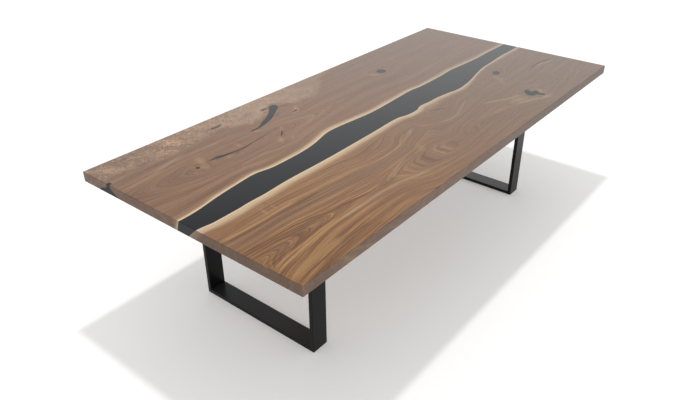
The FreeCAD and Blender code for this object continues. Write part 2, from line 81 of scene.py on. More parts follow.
# %% Wires: shader maths as arithmetic
def feed(tree, socket, value):
    """Gives a socket either a link from a wire or a plain value."""
    if isinstance(value, Wire):
        tree.links.new(value.socket, socket)
    elif value is not None:
        socket.default_value = value


def calculate(tree, operation, *values):
    node = tree.nodes.new("ShaderNodeMath")
    node.operation = operation
    for socket, value in zip(node.inputs, values):
        feed(tree, socket, value)
    return Wire(tree, node.outputs[0])


class Wire:
    """One output socket of a node tree. Maths on a point takes the mean of its three numbers."""

    def __init__(self, tree, socket):
        self.tree, self.socket = tree, socket

    def __add__(self, other):
        return calculate(self.tree, "ADD", self, other)

    def __sub__(self, other):
        return calculate(self.tree, "SUBTRACT", self, other)

    def __rsub__(self, other):
        return calculate(self.tree, "SUBTRACT", other, self)

    def __mul__(self, other):
        return calculate(self.tree, "MULTIPLY", self, other)

    def __truediv__(self, other):
        return calculate(self.tree, "DIVIDE", self, other)

    def root(self):
        return calculate(self.tree, "SQRT", self)

    def size(self):
        return calculate(self.tree, "ABSOLUTE", self)

    def decay(self):
        """1 at zero, falling smoothly to nothing as the wire grows."""
        return calculate(self.tree, "EXPONENT", self * -1)

    __radd__, __rmul__ = __add__, __mul__


print("wires add, subtract, multiply and divide")

# %% [markdown]
# Five more helpers cover the rest: taking a point apart, putting one together, noise, a smooth
# fade between two levels, and mixing two colours.

# %% Points, noise, fades and colour mixes
def along_axes(point):
    """A point's X, Y and Z as three wires."""
    node = point.tree.nodes.new("ShaderNodeSeparateXYZ")
    feed(point.tree, node.inputs[0], point)
    return [Wire(point.tree, socket) for socket in node.outputs]


def point_at(tree, x, y, z):
    node = tree.nodes.new("ShaderNodeCombineXYZ")
    for socket, value in zip(node.inputs, (x, y, z)):
        feed(tree, socket, value)
    return Wire(tree, node.outputs[0])


def noise(at, scale=1.0, detail=2.0, roughness=0.5, distortion=0.0):
    """Cloudy noise between 0 and 1 at a point, or along a line where at is a single number."""
    node = at.tree.nodes.new("ShaderNodeTexNoise")
    single = at.socket.type == "VALUE"
    node.noise_dimensions = "1D" if single else "3D"
    feed(at.tree, node.inputs["W" if single else "Vector"], at)
    for name, value in (("Scale", scale), ("Detail", detail), ("Roughness", roughness),
                        ("Distortion", distortion)):
        node.inputs[name].default_value = value
    return Wire(at.tree, node.outputs[0])


def fade(value, start, end):
    """0 below start, 1 above end and smooth between them. It also falls, if end is below start."""
    node = value.tree.nodes.new("ShaderNodeMapRange")
    node.interpolation_type = "SMOOTHSTEP"
    # A smooth step never leaves 0 to 1, and a clamp would fill up the shader's memory.
    node.clamp = False
    for name, level in (("Value", value), ("From Min", start), ("From Max", end)):
        feed(value.tree, node.inputs[name], level)
    return Wire(value.tree, node.outputs[0])


def mix(factor, first, second):
    """The first colour where factor is 0 and the second where it is 1."""
    tree = factor.tree
    node = tree.nodes.new("ShaderNodeMix")
    node.data_type = "RGBA"
    factor_place, first_place, second_place, result_place = 0, 6, 7, 2
    feed(tree, node.inputs[factor_place], factor)
    for place, value in ((first_place, first), (second_place, second)):
        feed(tree, node.inputs[place], value if isinstance(value, Wire) else (*value, 1))
    return Wire(tree, node.outputs[result_place])


print("points, noise, fades and mixes are ready")

# %% [markdown]
# An effect that several finishes share could be copied into each of them, but then every change
# is made many times. As a node group it is built once, with named inputs and outputs, and each
# material places it with its own values.

# %% Groups
def open_group(name, inputs, outputs):
    """A new group: its tree, its inputs as wires, and its output node."""
    tree = bpy.data.node_groups.new(name, "ShaderNodeTree")
    for label, (kind, value) in inputs.items():
        socket = tree.interface.new_socket(name=label, in_out="INPUT", socket_type="NodeSocket" + kind)
        if value is not None:
            socket.default_value = value
    for label in outputs:
        tree.interface.new_socket(name=label, in_out="OUTPUT", socket_type="NodeSocketFloat")
    entry = tree.nodes.new("NodeGroupInput")
    wires = {label: Wire(tree, entry.outputs[label]) for label in inputs}
    print("group", name, "gives", ", ".join(outputs))
    return tree, wires, tree.nodes.new("NodeGroupOutput")


def close_group(exit_node, **values):
    """Links the results to a group's outputs. A keyword names an output, in small letters."""
    for label, value in values.items():
        feed(value.tree, exit_node.inputs[label.capitalize()], value)


def place_group(tree, name, **values):
    """A group in a tree. A keyword names an input, with _ for a space. Its outputs come back."""
    node = tree.nodes.new("ShaderNodeGroup")
    node.node_tree = bpy.data.node_groups[name]
    for label, value in values.items():
        feed(tree, node.inputs[label.replace("_", " ").capitalize()], value)
    return {socket.name: Wire(tree, socket) for socket in node.outputs}


print("groups can be opened, closed and placed")

# %% [markdown]
# Each finish is a material with one Principled BSDF, which stands for nearly any surface. What is
# the same all over is set on its own sockets, and what changes over the surface is wired in.

# %% Materials
def open_material(name, **values):
    """A new material: its tree, its surface point as a wire, and its Principled BSDF."""
    finish = bpy.data.materials.new(name)
    finish.use_nodes = True
    tree = finish.node_tree
    shader = tree.nodes["Principled BSDF"]
    for label, value in values.items():
        shader.inputs[label.replace("_", " ")].default_value = value
    where = tree.nodes.new("ShaderNodeTexCoord")
    return finish, tree, Wire(tree, where.outputs["Object"]), shader


def facing(tree):
    """Which way a face points, before any bump, as three wires."""
    node = tree.nodes.new("ShaderNodeNewGeometry")
    return along_axes(Wire(tree, node.outputs["True Normal"]))


def bump(tree, shader, height, strength, distance):
    """Feeds a height into the shader's normal."""
    node = tree.nodes.new("ShaderNodeBump")
    node.inputs["Strength"].default_value = strength
    node.inputs["Distance"].default_value = distance
    feed(tree, node.inputs["Height"], height)
    tree.links.new(node.outputs[0], shader.inputs["Normal"])


def coat(finish, *names):
    """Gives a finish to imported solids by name."""
    for name in names:
        for slot in nodes[name].material_slots:
            slot.material = finish
    print(finish.name, "is on", len(names), "solids")


print("materials can be opened, bumped and laid on solids")

# %% [markdown]
# Sapwood follows the tree's outside, so on each slab it is a pale band beside the river, and the
# shader has to know where the river's edge is. A painted mask could say so, but a curve keeps its
# line sharp at any distance. So the edge is read from the river's own solid, at even stations
# along the table, and kept in a Float Curve node. The walls lean, so it moves over with depth.

# %% Curves along the table, and the two live edges
def curve_along(tree, x, route):
    """A wire that follows a route of (X, value) points along the table, level beyond its ends."""
    route = np.array(route)
    (start, low), (end, high) = route.min(0), route.max(0)
    node = tree.nodes.new("ShaderNodeFloatCurve")
    node.mapping.extend = "HORIZONTAL"
    line = node.mapping.curves[0]
    while len(line.points) < len(route):
        line.points.new(0.5, 0.5)
    for point, (place, value) in zip(line.points, route):
        point.location = ((place - start) / (end - start), (value - low) / (high - low))
    node.mapping.update()
    feed(tree, node.inputs["Value"], (x - start) / (end - start))
    return Wire(tree, node.outputs[0]) * (high - low) + low


station_count = 64
river_top = np.array([vertex.co for vertex in nodes["resin_river"].data.vertices
                      if top_z - vertex.co.z < millimetre / 10])
between_edges_y = -0.03


def edge_group(name, points, lean_front, lean_rear):
    """A group that gives a live edge's Y at a point, as the wall leans under the top face."""
    points = points[points[:, 0].argsort()]
    stations = np.linspace(-half_length, half_length, station_count)
    tree, wires, exit_node = open_group(name, {"Point": ("Vector", None)}, ["Edge"])
    x, _, z = along_axes(wires["Point"])
    on_top = curve_along(tree, x, np.c_[stations, np.interp(stations, points[:, 0], points[:, 1])])
    lean = (x / (2 * half_length) + 0.5) * (lean_rear - lean_front) + lean_front
    close_group(exit_node, edge=on_top + lean * ((top_z - z) / thickness))
    print(name, "from", len(points), "points of the river's top face")


edge_group("burl_live_edge", river_top[river_top[:, 1] > between_edges_y],
           lean_front=0.014, lean_rear=0.014)
edge_group("grain_live_edge", river_top[river_top[:, 1] < between_edges_y],
           lean_front=0.048, lean_rear=0.028)

# %% [markdown]
# Grain flows round a knot as water flows round a stone. Each line could be drawn by hand, but to
# bend the space that straight lines lie in moves them all at once. The group below gives the
# sideways shift that does so round one knot, and how near a point is to it. The nearness is added
# to the rings' distance too, which closes them into small rings round the knot.

# %% Grain that bends round a knot
tree, wires, exit_node = open_group(
    "bend_round_knot",
    {"Point": ("Vector", None), "Knot": ("Vector", None), "Reach": ("Float", 0.05),
     "Stretch": ("Float", 2.0)},
    ["Shift", "Near"])
x, y, _ = along_axes(wires["Point"])
knot_x, knot_y, _ = along_axes(wires["Knot"])
aside = y - knot_y
along = (x - knot_x) / wires["Stretch"]
near = ((along * along + aside * aside) / (wires["Reach"] * wires["Reach"])).decay()
close_group(exit_node, shift=aside * near * -1, near=near)

# %% [markdown]
# A board's figure is a slice through growth rings, which are cones round the pith. Noise that is
# stretched along the board gives only stripes, so the group works out how far a point is from the
# pith and turns that distance into bands, ring lines and streaks that fade in and out. Where the
# pith lies close under the face, the slice shows nested arches, as in the real board.

# %% The figure of walnut
tree, wires, exit_node = open_group(
    "walnut_figure",
    {"Point": ("Vector", None), "Shift": ("Float", 0.0), "Lift": ("Float", 0.0),
     "Pith y": ("Float", 0.0), "Pith depth": ("Float", 0.1), "Band": ("Float", 0.03),
     "Line": ("Float", 0.006)},
    ["Bands", "Lines", "Streaks", "Fibre", "Pores"])
x, y, z = along_axes(wires["Point"])
wander = (noise(point_at(tree, x * 1.1, y * 2.6, z * 3), detail=1) - 0.5) * 0.075
ripple = (noise(point_at(tree, x * 4.5, y * 13, z * 16), detail=2) - 0.5) * 0.012
aside = y + wires["Shift"] - wires["Pith y"] + wander + ripple
rise = z - top_z + wires["Pith depth"]
radius = (aside * aside + rise * rise).root() + wires["Lift"]
bands = noise(point_at(tree, x * 0.9, radius / wires["Band"], 3), detail=2)
lines = noise(point_at(tree, x * 1.6, radius / wires["Line"], 9), detail=2, roughness=0.6)
streaks = noise(point_at(tree, x * 4, radius / wires["Line"] * 3.1, z * 90), detail=2, roughness=0.7)
bent = y + wires["Shift"]
fibre = noise(point_at(tree, x * 9, bent * 520, z * 520), detail=3, roughness=0.6)
pores = fade(noise(point_at(tree, x * 60, bent * 1000, z * 1000), detail=1), 0.62, 0.72)
close_group(exit_node, bands=bands, lines=lines, streaks=streaks, fibre=fibre, pores=pores)

# %% [markdown]
# Sapwood is cream at the live edge, with a blush that fades into the heartwood. An even ramp from
# the edge looks painted, so noise moves its border to and fro. The inputs say how wide each is.

# %% The sapwood band
tree, wires, exit_node = open_group(
    "sapwood_band",
    {"Point": ("Vector", None), "Gap": ("Float", 0.0), "Cream width": ("Float", 0.015),
     "Blush width": ("Float", 0.04)},
    ["Rim", "Cream", "Blush"])
x, y, z = along_axes(wires["Point"])
ragged = noise(point_at(tree, x * 7, y * 30, z * 30), detail=3, roughness=0.65) - 0.5
streaks = noise(point_at(tree, x * 4, y * 260, z * 260), detail=2) - 0.5
gap = wires["Gap"] + ragged * 0.014 + streaks * 0.016
close_group(exit_node,
            rim=fade(wires["Gap"] + ragged * 0.004, 0.013, 0.003),
            cream=fade(gap, wires["Cream width"] * 1.4, wires["Cream width"] * 0.45),
            blush=fade(gap, wires["Blush width"], wires["Cream width"] * 0.4))

# %% [markdown]
# Burl is wood that grew round many small buds. It reads as blots and curls with no direction, in
# tan, rose and grey. Round cells, one for each bud, look too regular, so cloudy noise gives the
# blots, and level lines of a second noise give the dark curls between them.

# %% The figure of burl
tree, wires, exit_node = open_group(
    "burl_figure", {"Point": ("Vector", None), "Size": ("Float", 0.03)},
    ["Blots", "Curls", "Clouds"])
x, y, z = along_axes(wires["Point"])
warp_x = noise(wires["Point"], scale=22, detail=2) - 0.5
warp_y = noise(point_at(tree, y + 4, x + 7, z), scale=22, detail=2) - 0.5
warped = point_at(tree, (x + warp_x * 0.12) / wires["Size"], (y + warp_y * 0.12) / wires["Size"],
                  z / wires["Size"])
blots = noise(warped, detail=4, roughness=0.7, distortion=2.2)
across = warped * 0.45 + 5
curls = noise(across, detail=2, roughness=0.5, distortion=3.2)
close_group(exit_node,
            blots=fade(blots * 0.65 + curls * 0.35, 0.38, 0.62),
            curls=fade((curls - 0.5).size() + (blots - 0.5).size() * 0.4, 0.060, 0.010),
            clouds=fade(noise(wires["Point"], scale=11, detail=3, distortion=0.6), 0.38, 0.62))

# %% [markdown]
# A stain is a soft patch of another colour, with ragged edges: the orange halo round a knot, or
# the smoky shadow beside a crack. It could be a round spot, but wood stains along its grain, so
# the patch can be long, and turned to lie along the lines that it follows.

# %% Stained patches
tree, wires, exit_node = open_group(
    "stained_patch",
    {"Point": ("Vector", None), "Middle": ("Vector", None), "Half length": ("Float", 0.05),
     "Half width": ("Float", 0.02), "Turn": ("Float", 0.0)},
    ["Patch"])
x, y, z = along_axes(wires["Point"])
middle_x, middle_y, _ = along_axes(wires["Middle"])
cosine = calculate(tree, "COSINE", wires["Turn"])
sine = calculate(tree, "SINE", wires["Turn"])
east, north = x - middle_x, y - middle_y
along = (east * cosine + north * sine) / wires["Half length"]
aside = (north * cosine - east * sine) / wires["Half width"]
ragged = noise(point_at(tree, along, aside * 2, z * 30), scale=2.2, detail=4, roughness=0.65,
               distortion=0.8) - 0.5
streaks = noise(point_at(tree, x * 10, y * 170, z * 170), detail=2, roughness=0.7) - 0.5
spread = (along * along + aside * aside).root() + ragged * 1.3 + streaks * 1.1
close_group(exit_node, patch=fade(spread, 1.15, 0.05))

# %% [markdown]
# Some ring lines stand out: a golden band, or a dark line that sweeps past a knot. Noise never
# puts one where the real board has it, so each is drawn along its own curve, with a slight
# wobble, and thins out at both ends.

# %% Drawn lines
tree, wires, exit_node = open_group(
    "drawn_line",
    {"Point": ("Vector", None), "Middle": ("Float", 0.0), "Half width": ("Float", 0.01),
     "Start": ("Float", -1.0), "End": ("Float", 1.0)},
    ["Line"])
x, y, z = along_axes(wires["Point"])
wobble = noise(point_at(tree, x * 7, y * 20, z * 20), detail=3) - 0.5
streak = noise(point_at(tree, x * 3, y * 190, z * 190), detail=2) - 0.5
aside = (y - wires["Middle"] + wobble * 0.008).size() / wires["Half width"] + streak * 1.3
taper = calculate(tree, "MINIMUM", (wires["End"] - wires["Start"]) * 0.35, 0.07)
ends = fade(x, wires["Start"], wires["Start"] + taper) * fade(x, wires["End"], wires["End"] - taper)
close_group(exit_node, line=fade(aside, 1.35, 0.1) * ends)

# %% [markdown]
# Oiled walnut runs from near black to gold. The colours are named once, because both slabs and
# their knots, cracks and sapwood share them. The quiet ones are the burl side's heartwood.

# %% The colours of walnut
dark_heart = (0.135, 0.060, 0.026)
mid_heart = (0.255, 0.124, 0.053)
light_heart = (0.420, 0.222, 0.090)
rim_cream = (0.82, 0.67, 0.45)
cream = (0.64, 0.47, 0.29)
blush_tan = (0.38, 0.235, 0.138)
pale_tan = (0.42, 0.275, 0.165)
orange_halo = (0.47, 0.28, 0.145)
gold = (0.450, 0.255, 0.105)
muted_brown = (0.180, 0.106, 0.066)
grey_brown = (0.190, 0.118, 0.075)
slate = (0.150, 0.105, 0.082)
smoke = (0.050, 0.040, 0.036)
# A painted haze of reflection, which greys the rear of the top.
rear_painted_haze = (0.140, 0.127, 0.121)
soaked_end = (0.070, 0.042, 0.027)
# Painted shade for the long side of the slab.
long_side_painted_shade = (0.072, 0.043, 0.028)
# Painted shade on the eased edges.
eased_edge_painted_shade = (0.040, 0.026, 0.020)
quiet_dark = (0.138, 0.068, 0.036)
quiet_mid = (0.226, 0.118, 0.064)
quiet_light = (0.315, 0.178, 0.100)
print("heartwood runs from", dark_heart, "to", light_heart)

# %% [markdown]
# Both slabs are put together in the same order: rings bent round the knots, then drawn lines,
# then stains, sapwood, fibres and pores. Layers laid over each other are easier to place than one
# formula for all of them. Each call gives one slab's own values.

# %% Tools for the heartwood
def bend_round(tree, point, knots):
    """The summed shift and lift of a list of knots: middle, reach, stretch and lift."""
    shift, lift = None, None
    for middle, reach, stretch, height in knots:
        out = place_group(tree, "bend_round_knot", point=point, knot=(*middle, 0), reach=reach,
                          stretch=stretch)
        shift = out["Shift"] if shift is None else shift + out["Shift"]
        lift = out["Near"] * height if lift is None else lift + out["Near"] * height
    return shift, lift


def heartwood(figure, colours, weights, levels):
    """Heartwood from a figure: dark, middle and light, and the two spans where one gives way."""
    dark, middle, light = colours
    tone = figure["Bands"] * weights[0] + figure["Lines"] * weights[1] + figure["Streaks"] * weights[2]
    colour = mix(fade(tone, *levels[0]), dark, middle)
    return mix(fade(tone, *levels[1]), colour, light)


def draw_lines(tree, point, colour, lines):
    """Draws lines over a colour: tint, strength, half width and the route."""
    x = along_axes(point)[0]
    for tint, strength, half_breadth, route in lines:
        line = place_group(tree, "drawn_line", point=point, middle=curve_along(tree, x, route),
                           half_width=half_breadth, start=route[0][0], end=route[-1][0])["Line"]
        colour = mix(line * strength, colour, tint)
    return colour


def stain(tree, point, colour, stains):
    """Lays stains over a colour: tint, strength, middle, half length, half width and turn."""
    for tint, strength, middle, half_run, half_breadth, turn in stains:
        patch = place_group(tree, "stained_patch", point=point, middle=(*middle, 0),
                            half_length=half_run, half_width=half_breadth, turn=turn)["Patch"]
        colour = mix(patch * strength, colour, tint)
    return colour


print("tools for bending, colouring, drawing and staining walnut")

# %% [markdown]
# Where the wood meets the resin it has soaked some up, which leaves a thin dark line. End grain
# soaks up more oil, so faces that look along the table are darker and plainer. The long side is a
# little darker than the top, and the eased edges are dark: both are painted shade. The shader knows
# these faces by which way they point, so no face needs a material of its own. The rear of the top
# is greyed, which is a painted haze of reflection.

# %% Tools for the sapwood and the surface
def sapwood(tree, point, colour, gap, breadth, blush_breadth):
    """The pale edge over a colour: blush, cream, the bright rim, and the soaked line at the resin."""
    sap = place_group(tree, "sapwood_band", point=point, gap=gap, cream_width=breadth,
                      blush_width=blush_breadth)
    colour = mix(sap["Blush"] * 0.7, colour, blush_tan)
    colour = mix(sap["Cream"] * 0.85, colour, cream)
    colour = mix(sap["Rim"] * 0.75, colour, rim_cream)
    return mix(fade(gap, 0.0038, 0.0008) * 0.85, colour, smoke)


def finish_wood(tree, shader, figure, colour, x, soak):
    """A rear greyed by a painted haze of reflection, fibres, pores, end grain darker by soak, and a long
    side and eased edges darkened by painted shade, with bump.
    """
    # Painted haze: the rear of the top is greyed, in place of reflection seen at a low angle.
    colour = mix(fade(x, -1.0, 1.3) * 0.48, colour, rear_painted_haze)
    colour = mix(figure["Fibre"] * 0.22, colour, dark_heart)
    colour = mix(figure["Pores"] * 0.45, colour, dark_heart)
    normal_x, normal_y, normal_z = facing(tree)
    end = fade(normal_x.size(), 0.5, 0.9)
    side = fade(normal_y.size(), 0.5, 0.9)
    eased = fade(normal_z.size(), 0.45, 0.62) * fade(normal_z.size(), 0.92, 0.80)
    colour = mix(end * soak, colour, soaked_end)
    # Painted shade: the long side is darkened.
    colour = mix(side * 0.50, colour, long_side_painted_shade)
    # Painted shade: the eased edges between top and side are darkened.
    colour = mix(eased * 0.65, colour, eased_edge_painted_shade)
    feed(tree, shader.inputs["Base Color"], colour)
    sanded = figure["Fibre"] * 0.08 + figure["Pores"] * 0.15 + 0.24
    feed(tree, shader.inputs["Roughness"], sanded + end * 0.30 + side * 0.15)
    bump(tree, shader, figure["Fibre"] * 0.3 - figure["Pores"], 0.12, 0.0003)


walnut_ior = 1.55
print("tools for the pale edge and the oiled surface")

# %% [markdown]
# The grain side is plain-sawn walnut. Its knots, and two guide curves that say how straight rings
# sweep across the board, are listed one by one, because they make this board the one it is. A knot
# has its middle, how far it reaches, how long it is for its width, and how much it lifts the rings.

# %% Knots and guide curves of the grain side
grain_knots = [
    ((0.155, -0.195), 0.045, 1.7, 0.015), ((-0.13, -0.23), 0.02, 1.6, 0.01),
    ((0.805, -0.172), 0.05, 1.4, 0.01), ((0.655, -0.455), 0.06, 1.5, 0.012),
    ((-0.05, -0.34), 0.08, 1.2, 0.012),
]
upper_guide = [
    (-1.31, -0.222), (-1.0, -0.236), (-0.7, -0.25), (-0.55, -0.275), (-0.42, -0.287), (-0.28, -0.268),
    (-0.15, -0.228), (-0.05, -0.262), (0.03, -0.285), (0.1, -0.3), (0.2, -0.288), (0.33, -0.245),
    (0.5, -0.23), (0.8, -0.225), (1.31, -0.24),
]
lower_guide = [
    (-1.31, -0.5), (-1.2, -0.478), (-1.0, -0.456), (-0.7, -0.455), (-0.6, -0.465), (-0.5, -0.485),
    (-0.4, -0.508), (-0.2, -0.515), (0.1, -0.5), (0.4, -0.5), (0.6, -0.54), (0.75, -0.535), (1.0, -0.5),
    (1.31, -0.46),
]
print(len(grain_knots), "knots and 2 guide curves for the grain side")

# %% [markdown]
# These lines stand out on the grain side: the golden and dark lines of the arches at the front,
# the sweep past the knot beside the river, the curved crack, and the sapwood streaks by the
# comma-shaped knot. Each has a tint, a strength, half its width, and its route from front to rear.

# %% Lines of the grain side
grain_lines = [
    (gold, 0.80, 0.008, [(-1.33, -0.226), (-1.2, -0.233), (-1.1, -0.238), (-1.0, -0.238), (-0.92, -0.24)]),
    (gold, 0.35, 0.010, [(-1.0, -0.225), (-0.9, -0.232), (-0.7, -0.246), (-0.5, -0.278), (-0.4, -0.285),
                         (-0.25, -0.262), (-0.12, -0.226)]),
    (dark_heart, 0.75, 0.009, [(-1.33, -0.246), (-1.1, -0.254), (-0.95, -0.258), (-0.8, -0.262)]),
    (dark_heart, 0.35, 0.005, [(-1.33, -0.283), (-1.1, -0.292), (-0.8, -0.3)]),
    (dark_heart, 0.95, 0.0055, [(-1.33, -0.333), (-1.2, -0.344), (-1.1, -0.348), (-1.04, -0.358),
                                (-0.98, -0.372), (-0.92, -0.392), (-0.84, -0.4), (-0.76, -0.414),
                                (-0.66, -0.43)]),
    (dark_heart, 0.90, 0.0045, [(-1.33, -0.35), (-1.2, -0.356), (-1.1, -0.362), (-1.03, -0.375),
                                (-0.96, -0.392), (-0.9, -0.408)]),
    (dark_heart, 0.65, 0.0035, [(-1.33, -0.368), (-1.2, -0.372), (-1.1, -0.382), (-1.02, -0.396),
                                (-0.95, -0.41)]),
    (dark_heart, 0.65, 0.0035, [(-1.33, -0.385), (-1.22, -0.392), (-1.12, -0.402), (-1.03, -0.416)]),
    (dark_heart, 0.60, 0.0035, [(-1.33, -0.44), (-1.2, -0.432), (-1.1, -0.426), (-1.03, -0.417)]),
    (dark_heart, 0.75, 0.0045, [(-1.33, -0.46), (-1.2, -0.445), (-1.1, -0.436), (-1.0, -0.43),
                                (-0.93, -0.423), (-0.89, -0.412)]),
    (dark_heart, 0.40, 0.014, [(-0.93, -0.405), (-0.82, -0.405), (-0.72, -0.425), (-0.6, -0.432),
                               (-0.5, -0.43)]),
    (slate, 0.60, 0.006, [(-0.64, -0.44), (-0.55, -0.428), (-0.48, -0.408), (-0.38, -0.388),
                          (-0.28, -0.37)]),
    (slate, 0.45, 0.004, [(-0.66, -0.425), (-0.58, -0.405), (-0.5, -0.385), (-0.4, -0.362)]),
    (pale_tan, 0.40, 0.006, [(-0.6, -0.418), (-0.52, -0.397), (-0.44, -0.376), (-0.36, -0.36)]),
    (gold, 0.85, 0.006, [(-1.33, -0.508), (-1.2, -0.478), (-1.1, -0.466), (-1.0, -0.455), (-0.9, -0.452),
                         (-0.75, -0.455)]),
    (gold, 0.70, 0.005, [(-1.33, -0.482), (-1.22, -0.464), (-1.1, -0.452), (-1.0, -0.444), (-0.9, -0.442)]),
    (pale_tan, 0.60, 0.011, [(-0.95, -0.455), (-0.8, -0.456), (-0.68, -0.456), (-0.6, -0.464),
                             (-0.5, -0.484), (-0.38, -0.515)]),
    (dark_heart, 0.50, 0.004, [(-1.33, -0.528), (-1.2, -0.498), (-1.08, -0.48), (-0.95, -0.47),
                               (-0.8, -0.472)]),
    (gold, 0.55, 0.022, [(-1.33, -0.568), (-1.2, -0.546), (-1.1, -0.535), (-1.0, -0.525)]),
    (gold, 0.40, 0.004, [(-1.1, -0.545), (-0.95, -0.532), (-0.8, -0.53), (-0.6, -0.535)]),
    (dark_heart, 0.80, 0.005, [(-1.33, -0.595), (-1.2, -0.573), (-1.1, -0.562), (-1.0, -0.552),
                               (-0.85, -0.548)]),
    (dark_heart, 0.50, 0.012, [(-1.33, -0.612), (-1.2, -0.604), (-1.05, -0.592), (-0.8, -0.58)]),
    (smoke, 0.85, 0.006, [(0.095, -0.16), (0.125, -0.172), (0.155, -0.19), (0.185, -0.208),
                          (0.215, -0.222)]),
    (smoke, 0.35, 0.004, [(0.14, -0.165), (0.18, -0.18), (0.23, -0.186)]),
    (slate, 0.40, 0.008, [(0.06, -0.2), (0.12, -0.225), (0.2, -0.232), (0.28, -0.215)]),
    (pale_tan, 0.50, 0.008, [(0.05, -0.15), (0.12, -0.14), (0.2, -0.145), (0.28, -0.165)]),
    (smoke, 0.85, 0.006, [(0.98, -0.293), (1.06, -0.289), (1.13, -0.293), (1.19, -0.305), (1.25, -0.325)]),
    (cream, 0.50, 0.006, [(1.02, -0.305), (1.1, -0.303), (1.17, -0.318), (1.25, -0.34)]),
    (slate, 0.45, 0.004, [(-0.4, -0.522), (-0.25, -0.535), (-0.05, -0.548), (0.15, -0.552)]),
    (pale_tan, 0.55, 0.007, [(0.0, -0.262), (0.05, -0.29), (0.12, -0.302), (0.2, -0.288), (0.28, -0.262),
                             (0.36, -0.236)]),
    (slate, 0.30, 0.010, [(0.0, -0.315), (0.08, -0.335), (0.18, -0.325), (0.3, -0.29)]),
    (cream, 0.40, 0.009, [(0.34, -0.32), (0.42, -0.36), (0.5, -0.4), (0.62, -0.44)]),
    (cream, 0.35, 0.013, [(0.44, -0.455), (0.52, -0.49), (0.6, -0.52), (0.68, -0.553), (0.74, -0.54)]),
]
print(len(grain_lines), "lines for the grain side")

# %% [markdown]
# The stains of the grain side are the halos and shadows round its knots, and a few cloudy places.
# Each has a tint, a strength, its middle, half its length and width, and its turn in radians.

# %% Stains of the grain side
grain_stains = [
    (dark_heart, 0.45, (-1.025, -0.150), 0.030, 0.010, 1.7),
    (pale_tan, 0.45, (-1.068, -0.200), 0.030, 0.010, 1.4),
    (pale_tan, 0.35, (-1.020, -0.205), 0.022, 0.008, 1.4),
    (grey_brown, 0.40, (-1.18, -0.410), 0.090, 0.018, 0.0),
    (pale_tan, 0.30, (-1.02, -0.405), 0.060, 0.012, -0.1),
    (orange_halo, 0.45, (0.735, -0.220), 0.045, 0.025, 0.9),
    (pale_tan, 0.35, (0.70, -0.265), 0.060, 0.018, 0.8),
    (cream, 0.28, (0.53, -0.455), 0.080, 0.035, -0.45),
    (cream, 0.35, (0.71, -0.480), 0.040, 0.022, 0.9),
    (cream, 0.25, (0.66, -0.535), 0.050, 0.012, 0.2),
    (slate, 0.30, (-0.35, -0.47), 0.160, 0.020, -0.2),
    (slate, 0.30, (-0.20, -0.42), 0.080, 0.016, 0.6),
    (orange_halo, 0.30, (0.165, -0.155), 0.080, 0.025, 0.0),
    (pale_tan, 0.50, (-0.14, -0.228), 0.050, 0.014, 0.35),
    (pale_tan, 0.40, (-0.045, -0.245), 0.060, 0.012, -0.7),
    (pale_tan, 0.30, (-0.25, -0.36), 0.060, 0.030, 0.9),
    (slate, 0.35, (-0.05, -0.34), 0.100, 0.065, 0.3),
    (smoke, 0.40, (-0.125, -0.226), 0.015, 0.004, 0.2),
    (smoke, 0.80, (0.155, -0.190), 0.036, 0.008, -0.5),
    (smoke, 0.30, (0.215, -0.182), 0.020, 0.006, 0.5),
]
grain_sap_breadth = [
    (-1.31, 0.036), (-1.1, 0.036), (-0.7, 0.033), (-0.3, 0.031), (0.3, 0.029), (0.55, 0.02), (0.8, 0.013),
    (1.0, 0.018), (1.15, 0.024), (1.31, 0.022),
]
print(len(grain_stains), "stains for the grain side")

# %% [markdown]
# Here the grain side is put together. The pith comes close under the face at the front, dips away
# and comes back towards the middle, so the arches point inwards from both sides. Between the guide
# curves the rings follow them, and near the river they follow its edge.

# %% Walnut on the grain side
walnut_grain, tree, point, shader = open_material("walnut_grain_side", IOR=walnut_ior)
shift, lift = bend_round(tree, point, grain_knots)
x, y, _ = along_axes(point)
edge = place_group(tree, "grain_live_edge", point=point)["Edge"]
upper = curve_along(tree, x, upper_guide)
lower = curve_along(tree, x, lower_guide)
upper_rest, lower_rest, edge_rest = -0.240, -0.465, -0.110
by_river = fade(y, -0.24, -0.12)
sweep = (upper_rest - upper) * (1.0 - by_river) + (edge_rest - edge) * by_river
shift = shift + sweep * fade(y, -0.42, -0.24) + (lower_rest - lower) * fade(y, -0.42, -0.475)
deepest_x, deepest, shallowest = -0.72, 0.068, 0.010
dip = x - deepest_x
pith_depth = calculate(tree, "MAXIMUM", deepest - dip * dip * 0.16, shallowest)
figure = place_group(tree, "walnut_figure", point=point, shift=shift, lift=lift, pith_y=-0.415,
                     pith_depth=pith_depth, band=0.020, line=0.0055)
colour = heartwood(figure, (dark_heart, mid_heart, light_heart), weights=(0.22, 0.34, 0.44),
                   levels=((0.405, 0.50), (0.50, 0.605)))
vivid = fade(x, 0.1, -0.9)
colour = mix((1.0 - vivid) * 0.40, colour, muted_brown)
brown_band = fade((y + shift + 0.290).size(), 0.045, 0.02) * fade(x, 0.0, -0.6)
colour = mix(brown_band * 0.35, colour, grey_brown)
colour = draw_lines(tree, point, colour, grain_lines)
colour = stain(tree, point, colour, grain_stains)
breadth = curve_along(tree, x, grain_sap_breadth)
colour = sapwood(tree, point, colour, edge - y, breadth, breadth * 1.6 + 0.008)
finish_wood(tree, shader, figure, colour, x, soak=0.68)
coat(walnut_grain, "walnut_slab_grain_side")
